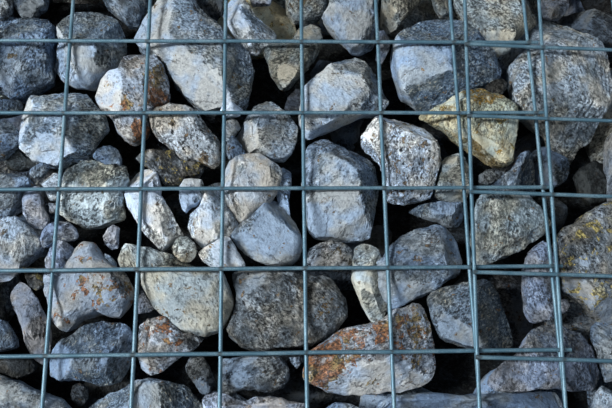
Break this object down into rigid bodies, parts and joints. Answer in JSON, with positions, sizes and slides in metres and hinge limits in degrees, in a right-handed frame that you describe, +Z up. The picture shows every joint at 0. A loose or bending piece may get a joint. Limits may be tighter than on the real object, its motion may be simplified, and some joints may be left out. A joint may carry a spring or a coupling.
{
  "type": "gabion wall",
  "caption": "Low free-standing wall of rough stone packed in a cage of lapped welded wire mesh sheets.",
  "frame": {"origin": "middle of the foot, on the ground", "axes": "+X along the wall, to the right as seen from the front, +Y to the back, +Z up"},
  "size_m": [1.9462, 0.5462, 1.0413],
  "materials": {
    "mesh_wire": "dull weathered galvanising",
    "tie_wire": "dull weathered galvanising",
    "stone": "rough broken limestone, grey, beige and blue-grey with rust and lichen"
  },
  "bodies": {
    "root": {"front_sheet_left": "mesh_wire", "front_sheet_right": "mesh_wire", "back_sheet_left": "mesh_wire", "back_sheet_right": "mesh_wire", "lid_sheet_left": "mesh_wire", "lid_sheet_right": "mesh_wire", "base_sheet_left": "mesh_wire", "base_sheet_right": "mesh_wire", "end_sheet_left": "mesh_wire", "end_sheet_right": "mesh_wire", "stone_fill_left_lower": "stone", "stone_fill_left_middle": "stone", "stone_fill_left_upper": "stone", "stone_fill_right_lower": "stone", "stone_fill_right_middle": "stone", "stone_fill_right_upper": "stone", "cross_tie_left_lower_outer": "tie_wire", "cross_tie_left_lower_inner": "tie_wire", "cross_tie_left_upper_outer": "tie_wire", "cross_tie_right_lower_outer": "tie_wire", "cross_tie_right_lower_inner": "tie_wire", "cross_tie_right_upper_outer": "tie_wire", "cross_tie_right_upper_inner": "tie_wire"}
  },
  "joints": []
}
